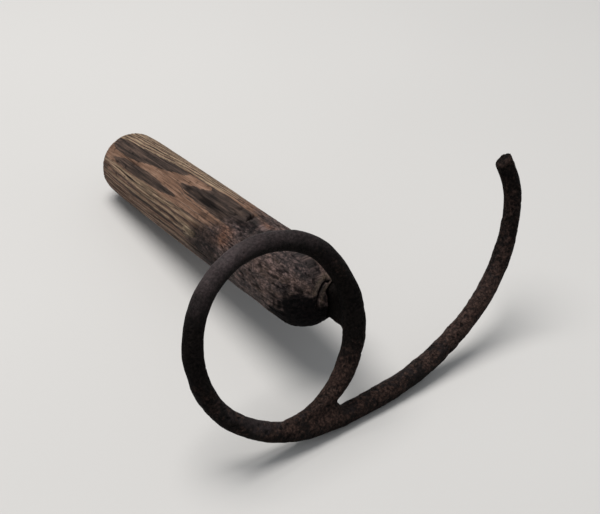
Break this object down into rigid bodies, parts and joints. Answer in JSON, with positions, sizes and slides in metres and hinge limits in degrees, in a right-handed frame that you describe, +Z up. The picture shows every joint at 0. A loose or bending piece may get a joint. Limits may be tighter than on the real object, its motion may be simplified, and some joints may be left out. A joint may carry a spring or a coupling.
{
  "type": "corn husking peg",
  "caption": "Forged iron hand hook with a round wooden cross handle: the bar is bent into a closed eye on a driven tang, then sweeps out and curls up to a blunt tip.",
  "frame": {"origin": "centre of the bottom of the bounding box, on the table that the tool rests on", "axes": "+X from the eye towards the hook's curled tip, +Y from the iron along the grip towards its free end, +Z up, in the pose the tool takes when it lies at rest on its foot and the grip's far end"},
  "size_m": [0.1554, 0.1896, 0.0729],
  "materials": {
    "iron": "forged, dark, pitted and rusted",
    "wood": "bare, weathered and worn"
  },
  "bodies": {
    "root": {"hook": "iron", "tang": "iron", "grip": "wood"}
  },
  "joints": []
}
